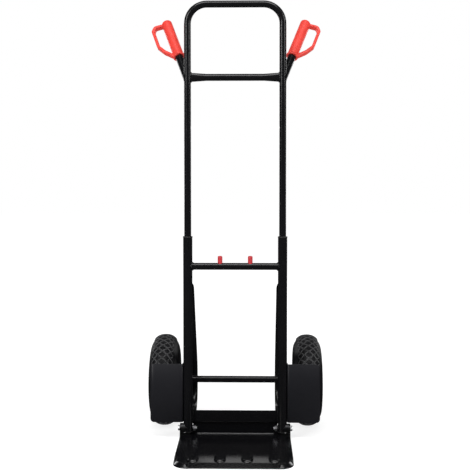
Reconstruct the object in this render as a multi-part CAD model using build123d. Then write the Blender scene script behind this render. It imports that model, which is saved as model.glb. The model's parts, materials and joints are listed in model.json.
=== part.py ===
from build123d import *
import math
import os

# A hand truck with a telescoping push loop and a folding toe plate. Millimetres, +Z up.
# The toe plate points towards -Y. While modelling, y = 0 is the plane of the uprights;
# save() moves everything along y so that the origin lies under the middle of the whole box.

# Whole truck
overall_height = 1200.0
upright_spacing = 260.0
truck_x = upright_spacing / 2
close_fit = 0.05      # between pieces pressed or welded together
loose_fit = 0.2       # between pieces that slide or turn past each other
past = 5.0            # how far a cutting body runs past what it cuts

# Uprights and the middle crossbar between them
upright_diameter = 25.4
upright_wall = 1.5
upright_top = 555.0
upright_radius = upright_diameter / 2
upright_bore = upright_radius - upright_wall
crossbar_diameter = 19.0
crossbar_wall = 1.5
crossbar_radius = crossbar_diameter / 2
crossbar_bore = crossbar_radius - crossbar_wall
crossbar_drop = 79.5
crossbar_height = upright_top - crossbar_drop

# Push loop
loop_diameter = 19.0
loop_wall = 1.5
loop_radius = loop_diameter / 2
loop_bore = loop_radius - loop_wall
loop_bend = 53.0
loop_overlap = 125.0
loop_foot = upright_top - loop_overlap
loop_top = overall_height - loop_radius
travel = 380.0
upper_bar_drop = 208.0
upper_bar_height = overall_height - upper_bar_drop
flat_height = 25.5
flat_depth = 10.0
flat_length = 42.0

# Guide bushes, slide plugs and end plugs
bush_lip = 3.0
bush_overhang = 0.6   # of the lip past the upright
bush_depth = 30.0
plug_head = 8.0
plug_depth = 15.0
end_plug_lip = 2.0
end_plug_depth = 14.0

# Lock: two pins in the middle crossbar, each with a knob standing out of a slot
pin_diameter = 8.0
pin_radius = pin_diameter / 2
pin_clear = 0.4       # pin tip to loop leg at rest
pin_engage = 4.5      # travel outwards into the leg
pin_squeeze = 3.0     # travel inwards past rest
knob_x = 41.4
knob_diameter = 13.0
knob_height = 19.0
knob_stem = 8.0
knob_seat = 3.0       # depth of the knob's stem below the crossbar's axis
slider_length = 17.0
guide_length = 8.0
guide_inset = 6.0
spring_stop_length = 8.0
spring_wire = 1.2
spring_room = 1.2     # between the spring and the crossbar's bore
spring_turns = 6

# Handles and grips
handle_diameter = 22.0
handle_wall = 1.5
handle_radius = handle_diameter / 2
handle_base_height = upper_bar_height - 4.0
handle_splay = 22.0
handle_lean = 38.0
handle_bare = 77.0
grip_length = 144.0
grip_radius = 14.25
grip_end_wall = 6.0
grip_flange_radius = 17.0
grip_flange_length = 4.0
grip_end_round = 5.0
knuckle_reach = 49.5  # of the knuckle guard's middle from the grip's axis
knuckle_width = 16.0
knuckle_thickness = 4.6
knuckle_bend = 9.0

# Wheels and axle
tyre_diameter = 260.0
tyre_width = 86.0
tyre_wall = 7.0
tyre_crown = 42.0
tyre_foot = 10.5      # height of the tyre's straight foot above the bead
tube_wall = 2.0
tube_gap = 0.4
tyre_radius = tyre_diameter / 2
wheel_gap = 18.3      # upright to tyre
tyre_front_gap = 10.0
wheel_x = truck_x + upright_radius + wheel_gap + tyre_width / 2
axle_diameter = 19.0
axle_radius = axle_diameter / 2
axle_height = tyre_radius
axle_back = tyre_radius + tyre_front_gap
bead_radius = 50.5
bead_half_width = 27.5
bead_corner = 1.2
rim_wall = 2.5
rim_flange = 8.5
rim_dish = 8.0        # of the web between its flat centre and the barrel, both ways
rim_bolt_count = 4
rim_bolt_circle = 28.0
rim_bolt_radius = 3.0
rim_bolt_width = 10.0
rim_bolt_head = 4.0
rim_nut_height = 5.0
rim_bolt_past_nut = 2.0
hub_flange = 3.0
hub_flange_rim = 7.0  # of the flange outside the bolt circle
hub_length = 62.0
hub_radius = 19.3
hub_bore = 15.0
bearing_radius = 17.5
bearing_width = 11.0
bearing_gap = 0.06
bearing_ring = 2.0
seal_depth = 0.6
valve_radius = 3.5
valve_length = 26.0
valve_offset = 12.0   # of its foot from the middle of the wheel
valve_seat = 2.1      # of its foot below the barrel's outside
washer_thickness = 2.0
axle_end_gap = 3.0
axle_chamfer = 1.0
collar_length = 8.0
collar_wall = 5.0
washer_wall = 7.0
split_pin_radius = 1.6
split_pin_bottom = 8.0    # below the axle
split_pin_top = 2.0       # above the axle, under the eye
split_pin_eye = 3.2

# Toe plate and its pivot
sheet = 3.0
toe_reach = 250.0
plate_height = 10.0
pivot_rise = 18.0
pivot_height = plate_height + pivot_rise
toe_corner = 36.0
ramp_start = 170.0
ramp_end = 215.0
rib_width = 27.0
rib_spacing = 69.0
rib_count = 4
rib_run = 6.0         # of each rib's nose back past the top of the ramp
ear_radius = 13.0
ear_gap = 6.3
ear_bend = 4.0
bolt_radius = 4.0
bolt_hole_gap = 0.08
nut_width = 13.0
nut_height = 6.5
nut_corner = nut_width / math.sqrt(3)
bolt_head = 5.3
bolt_past_nut = 3.0
pivot_washer_wall = 4.0
heel_reach = 3.3      # of the plate behind the uprights
ear_inside = truck_x + upright_radius + ear_gap
plate_half_width = ear_inside + sheet
ramp_angle = math.atan2(plate_height - sheet, ramp_end - ramp_start)

# Flange across the toe plate's back edge. Its end tabs stop it behind the cross plate.
flange_front = nut_corner + 0.5
flange_back = flange_front + sheet
flange_top = pivot_height + 14.0
flange_bend = 3.5
tab_length = 20.0
tab_rise = 7.0
stop_gap = 0.3

# Cross plate, wheel guards and bows
upright_bottom = pivot_height - 2 * bolt_radius
cross_plate_thickness = 4.0
cross_plate_back = flange_front - stop_gap
cross_plate_bottom = flange_top + 2.2
cross_plate_top = pivot_height + 47.5
guard_sheet = 2.0
guard_bottom = pivot_height + ear_radius + 5.0
guard_top = axle_height + 77.5
guard_front = 10.0
guard_outer = wheel_x + 29.0
guard_corner = 10.0
guard_return = 8.0    # of its inner edge past the middle of the upright
guard_bend = 4.0
bow_diameter = 19.0
bow_wall = 1.5
bow_radius = bow_diameter / 2
bow_x = truck_x - 7.5
bow_top = axle_height + 296.0
bow_upper_bend = axle_height + 35.0
bow_lower_bend = axle_height - 78.0
bow_foot = pivot_height + 18.0
bow_back = axle_back + axle_radius + bow_radius
bow_cut = 8.5         # where its ends are cut off behind the uprights
flange_half_width = bow_x - bow_radius - 1.0

shift_y = (toe_reach - axle_back - tyre_radius) / 2


def rod(radius, start, end):
    # A round bar between two points.
    start, end = Vector(*start), Vector(*end)
    along = end - start
    plane = Plane(origin=start, z_dir=along.normalized())
    return plane * Cylinder(radius, along.length, align=(Align.CENTER, Align.CENTER, Align.MIN))


def bar_x(radius, x_from, x_to, y=0.0, z=0.0):
    return rod(radius, (x_from, y, z), (x_to, y, z))


def bar_z(radius, z_from, z_to, x=0.0, y=0.0):
    return rod(radius, (x, y, z_from), (x, y, z_to))


def block(x, y, z):
    # A box between pairs of limits.
    size = [high - low for low, high in (x, y, z)]
    middle = [(high + low) / 2 for low, high in (x, y, z)]
    return Pos(*middle) * Box(*size)


def hexagon(width, x_from, x_to, y, z):
    # A hexagonal prism along x, with its corners up and down.
    outline = Plane(origin=(x_from, y, z), x_dir=(0, 1, 0), z_dir=(1, 0, 0)) * RegularPolygon(
        width / 2, 6, major_radius=False, rotation=30
    )
    return extrude(outline, amount=x_to - x_from)


def biggest(shape):
    return shape.solids().sort_by(SortBy.VOLUME)[-1]


def mirrored(shape):
    return mirror(shape, about=Plane.YZ)


def save(name, *shapes):
    solids = [solid for shape in shapes for solid in shape.solids()]
    made = solids[0] if len(solids) == 1 else Compound(solids)
    export_step(Pos(0, shift_y, 0) * made, f"parts/{name}.step")


def save_pair(name, right):
    save(f"right_{name}", right)
    save(f"left_{name}", mirrored(right))


def save_both(name, right):
    save(name, right, mirrored(right))


def upright():
    tube = bar_z(upright_radius, upright_bottom, upright_top, truck_x)
    tube -= bar_z(upright_bore, upright_bottom, upright_top, truck_x)
    tube -= bar_x(bolt_radius + loose_fit, 0, 2 * truck_x, z=pivot_height)
    tube -= bar_x(pin_radius + loose_fit, 0, truck_x, z=crossbar_height)
    return tube


def guide_bush():
    # A plastic bush that guides the leg, with a lip over the end of the upright.
    bush = bar_z(upright_bore - close_fit, upright_top - bush_depth, upright_top, truck_x)
    lip = bar_z(upright_radius + bush_overhang, upright_top, upright_top + bush_lip, truck_x)
    lip = fillet(lip.edges().group_by(Axis.Z)[-1], 1.0)
    bore = bar_z(loop_radius + loose_fit, upright_top - bush_depth, upright_top + bush_lip, truck_x)
    return bush + lip - bore


def end_plug():
    lip_bottom = upright_bottom - end_plug_lip
    plug = bar_z(upright_radius, lip_bottom, upright_bottom, truck_x)
    plug = fillet(plug.edges().group_by(Axis.Z)[0], 1.0)
    plug += bar_z(upright_bore - close_fit, upright_bottom, upright_bottom + end_plug_depth, truck_x)
    return plug - bar_x(bolt_radius + loose_fit, 0, 2 * truck_x, z=pivot_height)


def middle_crossbar():
    bar = bar_x(crossbar_radius, -truck_x, truck_x, z=crossbar_height)
    bar -= bar_x(crossbar_bore, -truck_x, truck_x, z=crossbar_height)
    slot_from = knob_x - pin_squeeze - knob_stem / 2 - loose_fit
    slot_to = knob_x + pin_engage + knob_stem / 2 + loose_fit
    slot_half = knob_stem / 2 + loose_fit
    for side in (-1, 1):
        middle = side * (slot_from + slot_to) / 2
        outline = SlotOverall(slot_to - slot_from + loose_fit, 2 * slot_half)
        slot = extrude(Pos(middle, 0, crossbar_height) * outline, amount=2 * crossbar_radius)
        bar -= slot
        bar -= bar_z(upright_radius, upright_bottom, upright_top, side * truck_x)
    return biggest(bar)


def cross_plate():
    plate = block(
        (-truck_x, truck_x),
        (cross_plate_back - cross_plate_thickness, cross_plate_back),
        (cross_plate_bottom, cross_plate_top),
    )
    for side in (-1, 1):
        plate -= bar_z(upright_radius, upright_bottom, upright_top, side * truck_x)
    return biggest(plate)


def slider_inside():
    # The slider's inner end at rest, where the spring pushes.
    return knob_x - slider_length / 2


def pin_tip():
    return truck_x - loop_radius - pin_clear


def lock_pin():
    pin = bar_x(pin_radius, slider_inside(), pin_tip(), z=crossbar_height)
    pin = chamfer(pin.edges().group_by(Axis.X)[-1], 1.0)
    slider_end = slider_inside() + slider_length
    slider = bar_x(crossbar_bore - loose_fit, slider_inside(), slider_end, z=crossbar_height)
    stem_hole = bar_z(knob_stem / 2, crossbar_height - knob_seat, crossbar_height + crossbar_radius, knob_x)
    return pin + slider - stem_hole


def release_knob():
    # A moulded knob whose foot is hollowed to sit over the crossbar.
    top = crossbar_height + crossbar_radius + knob_height
    knob = bar_z(knob_diameter / 2, crossbar_height + crossbar_radius / 2, top, knob_x)
    knob = fillet(knob.edges().group_by(Axis.Z)[-1], 3.0)
    knob -= bar_x(crossbar_radius + loose_fit, 0, truck_x, z=crossbar_height)
    stem_bottom = crossbar_height - knob_seat + close_fit
    stem = bar_z(knob_stem / 2 - close_fit, stem_bottom, top - knob_height / 2, knob_x)
    return knob + stem


def lock_spring():
    start = spring_stop_length / 2
    room = slider_inside() - start
    mean_radius = crossbar_bore - spring_room - spring_wire / 2
    pitch = (room - spring_wire - 2 * loose_fit) / spring_turns
    path = Helix(
        pitch,
        pitch * spring_turns,
        mean_radius,
        center=(start + spring_wire / 2 + loose_fit, 0, crossbar_height),
        direction=(1, 0, 0),
    )
    wire = Plane(origin=path @ 0, z_dir=path % 0) * Circle(spring_wire / 2)
    return sweep(wire, path=path, is_frenet=True)


def pin_guide():
    end = truck_x - upright_radius - guide_inset
    guide = bar_x(crossbar_bore - close_fit, end - guide_length, end, z=crossbar_height)
    return guide - bar_x(pin_radius + loose_fit, end - guide_length, end, z=crossbar_height)


def spring_stop():
    return bar_x(
        crossbar_bore - close_fit, -spring_stop_length / 2, spring_stop_length / 2, z=crossbar_height
    )


def bow():
    # A bent tube behind the upright. The axle is welded across the front of its deepest part.
    path = FilletPolyline(
        (bow_x, 0, bow_top),
        (bow_x, bow_back, bow_upper_bend),
        (bow_x, bow_back, bow_lower_bend),
        (bow_x, 0, bow_foot),
        radius=(120, 58),
    )
    start = Plane(origin=path @ 0, z_dir=path % 0)
    outside = sweep(start * Circle(bow_radius), path=path)
    inside = sweep(start * Circle(bow_radius - bow_wall), path=path)
    tube = outside - inside
    tube -= block((0, 2 * truck_x), (-bow_back, bow_cut), (0, overall_height))
    tube -= bar_z(upright_radius + close_fit, 0, upright_top, truck_x)
    return biggest(tube)


def wheel_guard():
    # A sheet in front of the wheel, its inner edge bent back along the upright.
    inner = truck_x + upright_radius + loose_fit + guard_sheet / 2
    face = -guard_front + guard_sheet / 2
    path = FilletPolyline((inner, guard_return), (inner, face), (guard_outer, face), radius=guard_bend)
    sheet_metal = extrude(trace(path, line_width=guard_sheet), amount=guard_top - guard_bottom)
    sheet_metal = Pos(0, 0, guard_bottom) * sheet_metal
    corners = sheet_metal.edges().filter_by(Axis.Y).group_by(Axis.X)[-1]
    return fillet(corners, guard_corner)


def axle_outer_end():
    return wheel_x + tyre_width / 2 - axle_end_gap


def split_pin_x():
    return axle_outer_end() - 2 * split_pin_radius


def axle():
    end = axle_outer_end()
    bar = bar_x(axle_radius, -end, end, axle_back, axle_height)
    for side in (-1, 1):
        hole = bar_z(split_pin_radius + close_fit, 0, 2 * axle_height, side * split_pin_x(), axle_back)
        bar -= hole
    ends = bar.edges().filter_by(GeomType.CIRCLE).sort_by(Axis.X)
    return chamfer([ends[0], ends[-1]], axle_chamfer)


def axle_ring(radius, x_from, x_to):
    ring = bar_x(radius, x_from, x_to, axle_back, axle_height)
    return ring - bar_x(axle_radius + close_fit, x_from, x_to, axle_back, axle_height)


def axle_collar():
    end = wheel_x - hub_length / 2 - loose_fit
    return axle_ring(axle_radius + collar_wall, end - collar_length, end)


def axle_washer():
    start = wheel_x + hub_length / 2 + loose_fit
    return axle_ring(axle_radius + washer_wall, start, start + washer_thickness)


def split_pin():
    # A bent pin through the axle: a straight leg and a round eye above it.
    x = split_pin_x()
    top = axle_height + axle_radius + split_pin_top
    leg = bar_z(split_pin_radius, axle_height - axle_radius - split_pin_bottom, top, x, axle_back)
    eye = Torus(split_pin_eye, split_pin_radius)
    eye = Pos(x, axle_back, top + split_pin_eye) * Rot(0, 90, 0) * eye
    return leg + eye


def tyre_outline(half_width, crown, foot_half_width, foot_radius):
    # A tyre's section: half an ellipse over the widest point, and an arc down to each foot.
    widest = tyre_radius - tyre_crown
    foot_top = bead_radius + tyre_foot
    crown_arc = EllipticalCenterArc((0, widest), half_width, crown, 0, arc_size=180)
    left = TangentArc((-half_width, widest), (-foot_half_width, foot_top), tangent=(0, -1))
    right = TangentArc((half_width, widest), (foot_half_width, foot_top), tangent=(0, -1))
    feet = FilletPolyline(
        (-foot_half_width, foot_top),
        (-foot_half_width, foot_radius),
        (foot_half_width, foot_radius),
        (foot_half_width, foot_top),
        radius=bead_corner,
    )
    return make_face(Curve() + [crown_arc, left, feet, right])


def inner_outline(wall, foot_radius):
    return tyre_outline(tyre_width / 2 - wall, tyre_crown - wall, bead_half_width - wall, foot_radius)


def wheel_ring(section):
    return revolve(section, axis=Axis.X)


def tyre():
    seat = bead_radius + close_fit
    return wheel_ring(inner_outline(0, seat) - inner_outline(tyre_wall, seat - 2 * bead_corner))


def inner_tube():
    inside = tube_gap + tube_wall
    return wheel_ring(
        inner_outline(tyre_wall + tube_gap, bead_radius + tube_gap)
        - inner_outline(tyre_wall + inside, bead_radius + inside)
    )


def around_rim(shape):
    # Copies round the wheel, one at each rim bolt.
    turns = [(number + 0.5) * 360 / rim_bolt_count for number in range(rim_bolt_count)]
    copies = Part()
    for turn in turns:
        copies += Rot(turn, 0, 0) * shape
    return copies


def rim_holes():
    reach = hub_length / 2
    return around_rim(bar_x(rim_bolt_radius + loose_fit, -reach, reach, 0, rim_bolt_circle))


def valve_place():
    # The valve's axis: out of the rim's barrel, slanting towards the outside of the wheel.
    return Plane(origin=(valve_offset, 0, bead_radius - valve_seat), z_dir=(0.75, 0, -1))


def rim_half():
    # Half of a split rim: flat centre, dished web, barrel and flange, pressed from one sheet.
    middle = rim_wall / 2
    barrel = bead_radius - middle
    flange = bead_half_width + close_fit + middle
    path = FilletPolyline(
        (middle, hub_radius + close_fit),
        (middle, rim_bolt_circle + rim_dish),
        (middle + rim_dish, barrel),
        (flange, barrel),
        (flange, barrel + rim_flange + middle),
        radius=(3, 3, 2),
    )
    return wheel_ring(trace(path, line_width=rim_wall)) - rim_holes()


def rim_outer():
    hole = valve_place() * Cylinder(valve_radius + loose_fit, valve_length)
    return rim_half() - hole


def valve():
    return valve_place() * Cylinder(
        valve_radius, valve_length, align=(Align.CENTER, Align.CENTER, Align.MIN)
    )


def hub():
    # A barrel with a bearing pocket at each end and a flange bolted to the rim.
    half = hub_length / 2
    body = bar_x(hub_radius, -half, half)
    body += bar_x(rim_bolt_circle + hub_flange_rim, -rim_wall - hub_flange, -rim_wall)
    body -= bar_x(hub_bore, -half, half)
    for side in (-1, 1):
        body -= bar_x(bearing_radius + close_fit, side * (half - bearing_width), side * half)
    return body - rim_holes()


def bearings():
    # Two sealed ball bearings, each shown as its two rings with the seal between.
    half = hub_length / 2
    made = Part()
    for side in (-1, 1):
        inside, outside = sorted((side * (half - bearing_width), side * half))
        ring = bar_x(bearing_radius, inside, outside)
        for face in (inside, outside - seal_depth):
            groove = bar_x(bearing_radius - bearing_ring, face, face + seal_depth)
            ring -= groove - bar_x(axle_radius + bearing_ring, face, face + seal_depth)
        made += ring - bar_x(axle_radius + bearing_gap, inside, outside)
    return made


def rim_bolts():
    # Hexagon bolts and nuts that clamp the two halves to the hub's flange.
    back = -rim_wall - hub_flange
    end = back - rim_nut_height - rim_bolt_past_nut
    bolt = bar_x(rim_bolt_radius, end, rim_wall, 0, rim_bolt_circle)
    bolt += hexagon(rim_bolt_width, rim_wall, rim_wall + rim_bolt_head, 0, rim_bolt_circle)
    bolt += hexagon(rim_bolt_width, back - rim_nut_height, back, 0, rim_bolt_circle)
    return around_rim(bolt)


def plate_profile(drop, shift, floor):
    # The toe plate's long section, as (y, z) points: the lip, the ramp and the flat top.
    low = sheet - drop
    return [
        (-toe_reach, floor),
        (-toe_reach, low),
        (-ramp_end + shift, low),
        (-ramp_start + shift, plate_height - drop),
        (0, plate_height - drop),
        (0, floor),
    ]


def along_x(points, half_width):
    # A prism of (y, z) points between -half_width and half_width.
    plane = Plane(origin=(-half_width, 0, 0), x_dir=(0, 1, 0), z_dir=(1, 0, 0))
    return extrude(plane * make_face(Polyline(*points, close=True)), amount=2 * half_width)


def rib_noses(inset, bottom, top):
    # The pressed ribs run straight on over the ramp and end in round noses.
    noses = Part()
    half = rib_width / 2 - inset
    nose_y = -ramp_end + inset + half
    for number in range(rib_count):
        x = (number - (rib_count - 1) / 2) * rib_spacing
        noses += block((x - half, x + half), (nose_y, -ramp_start + rib_run), (bottom, top))
        noses += bar_z(half, bottom, top, x, nose_y)
    return noses


def plan_outline(inset):
    # The plate seen from above, with round front corners.
    half = plate_half_width - inset
    plan = block((-half, half), (-toe_reach + inset, 0), (-past, plate_height + past))
    corners = plan.edges().filter_by(Axis.Z).group_by(Axis.Y)[0]
    return fillet(corners, toe_corner - inset)


def toe_pan():
    # The pressed pan: an even sheet with a solid lip, open below and at the back.
    outside = along_x(plate_profile(0, 0, 0), plate_half_width) + rib_noses(0, 0, plate_height)
    outside &= plan_outline(0)
    inner_shift = sheet * math.tan(ramp_angle / 2)
    inside = along_x(plate_profile(sheet, inner_shift, -past), plate_half_width)
    inside += rib_noses(sheet, -past, plate_height - sheet)
    inside &= plan_outline(sheet)
    return outside - inside


def stop_flange():
    # Bent up from the pan's back edge, with a tab at each end.
    level = plate_height - sheet / 2
    upright_y = (flange_front + flange_back) / 2
    path = FilletPolyline((0, level), (upright_y, level), (upright_y, flange_top), radius=flange_bend)
    plane = Plane(origin=(-flange_half_width, 0, 0), x_dir=(0, 1, 0), z_dir=(1, 0, 0))
    flange = extrude(plane * trace(path, line_width=sheet), amount=2 * flange_half_width)
    for side in (-1, 1):
        ends = sorted((side * flange_half_width, side * (flange_half_width - tab_length)))
        flange += block(ends, (flange_front, flange_back), (flange_top, flange_top + tab_rise))
    return flange


def heel(side):
    # The sheet's flat end under the upright.
    ends = sorted((side * flange_half_width, side * plate_half_width))
    return block(ends, (0, upright_radius + heel_reach), (plate_height - sheet, plate_height))


def toe_plate():
    plate = toe_pan() + stop_flange()
    for side in (-1, 1):
        plate += heel(side)
        plate += ear(side)
    return plate


def ear(side):
    # A lug outside the upright with the pivot hole, bent up from the plate.
    base = make_hull(
        (
            Pos(0, pivot_height) * Circle(ear_radius)
            + Pos(-pivot_rise / 2, plate_height / 2) * Rectangle(pivot_rise, plate_height)
        ).edges()
    )
    plane = Plane(origin=(side * ear_inside, 0, 0), x_dir=(0, 1, 0), z_dir=(1, 0, 0))
    lug = extrude(plane * base, amount=side * sheet)
    bend_x = side * (ear_inside - ear_bend)
    ends = sorted((bend_x, side * ear_inside))
    bend_z = plate_height + ear_bend
    bend = block(ends, (-pivot_rise, 0), (plate_height, bend_z))
    bend -= rod(ear_bend, (bend_x, -pivot_rise, bend_z), (bend_x, 0, bend_z))
    hole = bar_x(bolt_radius + bolt_hole_gap, 0, side * 2 * ear_inside, z=pivot_height)
    return lug + bend - hole


def pivot_bolt():
    outside = plate_half_width + loose_fit
    nut_outside = truck_x - upright_radius - washer_thickness
    end = nut_outside - nut_height - bolt_past_nut
    bolt = bar_x(bolt_radius, end, outside, z=pivot_height)
    bolt += hexagon(nut_width, outside, outside + bolt_head, 0, pivot_height)
    return bolt


def pivot_nut():
    nut_outside = truck_x - upright_radius - washer_thickness
    nut = hexagon(nut_width, nut_outside - nut_height, nut_outside, 0, pivot_height)
    return nut - bar_x(bolt_radius + close_fit, 0, truck_x, z=pivot_height)


def pivot_ring(radius, x_from, x_to):
    ring = bar_x(radius, x_from, x_to, z=pivot_height)
    return ring - bar_x(bolt_radius + close_fit, x_from, x_to, z=pivot_height)


def pivot_washer():
    end = truck_x - upright_radius
    return pivot_ring(bolt_radius + pivot_washer_wall, end - washer_thickness, end)


def pivot_spacer():
    # A bush as broad as the ear, cut to sit on the round upright.
    spacer = pivot_ring(ear_radius, truck_x, ear_inside - loose_fit)
    return spacer - bar_z(upright_radius, 0, upright_top, truck_x)


def push_loop():
    # One bent tube: a leg, the top bar and the other leg. Each leg has a lock hole for the
    # extended height and one for the lowered height.
    path = FilletPolyline(
        (-truck_x, 0, loop_foot),
        (-truck_x, 0, loop_top),
        (truck_x, 0, loop_top),
        (truck_x, 0, loop_foot),
        radius=loop_bend,
    )
    start = Plane(origin=path @ 0, z_dir=path % 0)
    tube = sweep(start * Circle(loop_radius), path=path) - sweep(start * Circle(loop_bore), path=path)
    for height in (crossbar_height, crossbar_height + travel):
        tube -= bar_x(pin_radius + loose_fit, -truck_x, truck_x, z=height)
    return biggest(tube)


def flattened_end(wall):
    # A round tube pressed to an upright oval where it meets the leg.
    meets = truck_x - loop_radius / 2
    begins = truck_x - loop_radius - flat_length
    round_part = Plane(origin=(begins, 0, upper_bar_height), z_dir=(1, 0, 0)) * Circle(
        crossbar_radius - wall
    )
    oval = Plane(origin=(meets, 0, upper_bar_height), x_dir=(0, 1, 0), z_dir=(1, 0, 0)) * Ellipse(
        flat_depth / 2 - wall, flat_height / 2 - wall
    )
    return loft([round_part.face(), oval.face()])


def upper_crossbar():
    begins = truck_x - loop_radius - flat_length
    bar = bar_x(crossbar_radius, -begins, begins, z=upper_bar_height)
    bore = bar_x(crossbar_radius - crossbar_wall, -begins, begins, z=upper_bar_height)
    bar += flattened_end(0) + mirrored(flattened_end(0))
    bore += flattened_end(crossbar_wall) + mirrored(flattened_end(crossbar_wall))
    bar -= bore
    for side in (-1, 1):
        bar -= bar_z(loop_radius, loop_foot, loop_top, side * truck_x)
    return biggest(bar)


def slide_plug():
    plug = bar_z(upright_bore - loose_fit, loop_foot - plug_head, loop_foot, truck_x)
    plug = fillet(plug.edges().group_by(Axis.Z)[0], 1.5)
    return plug + bar_z(loop_bore - close_fit, loop_foot, loop_foot + plug_depth, truck_x)


handle_way = Vector(
    math.tan(math.radians(handle_splay)), math.tan(math.radians(handle_lean)), 1
).normalized()
handle_base = Vector(truck_x, 0, handle_base_height)
grip_start = handle_base + handle_way * handle_bare
handle_end = grip_start + handle_way * (grip_length - grip_end_wall)


def handle_tube():
    tube = rod(handle_radius, handle_base, handle_end)
    tube -= rod(handle_radius - handle_wall, handle_base, handle_end)
    tube -= bar_z(loop_radius, loop_foot, loop_top, truck_x)
    tube -= block((0, truck_x), (-2 * handle_radius, flat_depth / 2), (0, overall_height))
    return biggest(tube)


def grip():
    # A moulded sleeve with a knuckle guard standing out sideways.
    base = (Align.CENTER, Align.CENTER, Align.MIN)
    sleeve = Cylinder(grip_radius, grip_length, align=base)
    sleeve = fillet(sleeve.edges().group_by(Axis.Z)[-1], grip_end_round)
    flange = Cylinder(grip_flange_radius, grip_flange_length, align=base)
    sleeve += fillet(flange.edges(), grip_flange_length * 0.375)
    half = knuckle_thickness / 2
    path = FilletPolyline(
        (0, grip_length - half),
        (knuckle_reach * 0.76, grip_length - half),
        (knuckle_reach, grip_length * 0.833),
        (knuckle_reach, grip_length * 0.44),
        (knuckle_reach * 0.72, grip_length * 0.25),
        (grip_radius * 0.86, half * 1.43),
        radius=knuckle_bend,
    )
    outline = Plane.XZ * trace(path, line_width=knuckle_thickness)
    guard = extrude(outline, amount=knuckle_width / 2, both=True)
    shape = sleeve + guard
    shape -= Cylinder(handle_radius + close_fit, grip_length - grip_end_wall, align=base)
    sideways = Vector(handle_way.Z, 0, -handle_way.X).normalized()
    return Plane(origin=grip_start, x_dir=sideways, z_dir=handle_way) * shape


os.makedirs("parts", exist_ok=True)

# Fixed frame
save_pair("main_tube", upright())
save_pair("guide_bush", guide_bush())
save_both("tube_end_plugs", end_plug())
save("middle_crossbar", middle_crossbar())
save("bottom_cross_plate", cross_plate())
save_pair("bow", bow())
save_pair("wheel_guard", wheel_guard())
save("axle", axle())
save_both("axle_collars", axle_collar())
save_both("axle_washers", axle_washer())
save_both("axle_split_pins", split_pin())
save_both("pin_guides", pin_guide())
save("spring_stop", spring_stop())
save_both("toe_pivot_bolts", pivot_bolt())
save_both("toe_pivot_nuts", pivot_nut())
save_both("toe_pivot_washers", pivot_washer())
save_both("toe_pivot_spacers", pivot_spacer())

# Locks
save_pair("release_knob", release_knob())
save_pair("lock_pin", lock_pin())
save_pair("lock_spring", lock_spring())

# Toe plate
save("toe_plate", toe_plate())

# Telescope
save("push_loop", push_loop())
save("upper_crossbar", upper_crossbar())
save_both("slide_plugs", slide_plug())
save_pair("handle_tube", handle_tube())
save_pair("grip", grip())

# Wheels
wheel_place = Pos(wheel_x, axle_back, axle_height)
for name, piece in (
    ("tyre", tyre()),
    ("inner_tube", inner_tube()),
    ("valve", valve()),
    ("rim_outer", rim_outer()),
    ("rim_inner", mirrored(rim_half())),
    ("hub", hub()),
    ("bearings", bearings()),
    ("rim_bolts", rim_bolts()),
):
    save_pair(f"wheel_{name}", wheel_place * piece)
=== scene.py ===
import bpy
import bmesh
import json
import math
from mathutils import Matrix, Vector, noise


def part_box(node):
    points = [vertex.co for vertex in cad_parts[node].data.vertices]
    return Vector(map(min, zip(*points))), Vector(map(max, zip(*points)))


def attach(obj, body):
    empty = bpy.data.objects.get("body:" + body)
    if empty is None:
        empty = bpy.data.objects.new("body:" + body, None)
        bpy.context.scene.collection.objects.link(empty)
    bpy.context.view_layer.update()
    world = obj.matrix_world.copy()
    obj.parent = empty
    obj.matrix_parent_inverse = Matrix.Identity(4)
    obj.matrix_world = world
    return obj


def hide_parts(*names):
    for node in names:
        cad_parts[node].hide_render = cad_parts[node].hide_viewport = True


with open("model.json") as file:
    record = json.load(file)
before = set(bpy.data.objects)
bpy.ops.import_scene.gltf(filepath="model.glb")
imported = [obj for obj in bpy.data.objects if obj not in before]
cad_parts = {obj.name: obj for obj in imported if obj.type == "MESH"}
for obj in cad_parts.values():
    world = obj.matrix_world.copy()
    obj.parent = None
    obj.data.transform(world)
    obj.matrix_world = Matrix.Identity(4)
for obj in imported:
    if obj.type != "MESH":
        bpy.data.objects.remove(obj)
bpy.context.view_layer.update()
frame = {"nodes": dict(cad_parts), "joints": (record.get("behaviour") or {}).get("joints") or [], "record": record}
scene = bpy.context.scene
nodes = frame["nodes"]
joints = {joint["name"]: joint for joint in frame["joints"]}
sides = {"left": -1, "right": 1}
print("frame loaded:", len(nodes), "nodes")


# camera and lights

cameraSetup = {
    "place": (0.0474, -2.4, 0.742),
    "turn": 1.12,  # degrees to the left
    "pitchDown": 1.851,  # degrees
    "lens": 66.96,
    "shiftX": -0.0008,
    "shiftY": -0.08,
    "clipEnd": 40,
}

camera = bpy.data.objects.new("camera", bpy.data.cameras.new("camera"))
scene.collection.objects.link(camera)
camera.location = cameraSetup["place"]
camera.rotation_euler = (
    math.radians(90 - cameraSetup["pitchDown"]), 0, math.radians(cameraSetup["turn"]))
camera.data.lens = cameraSetup["lens"]
camera.data.shift_x = cameraSetup["shiftX"]
camera.data.shift_y = cameraSetup["shiftY"]
camera.data.clip_end = cameraSetup["clipEnd"]
scene.camera = camera
scene.view_settings.view_transform = "Standard"

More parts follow.
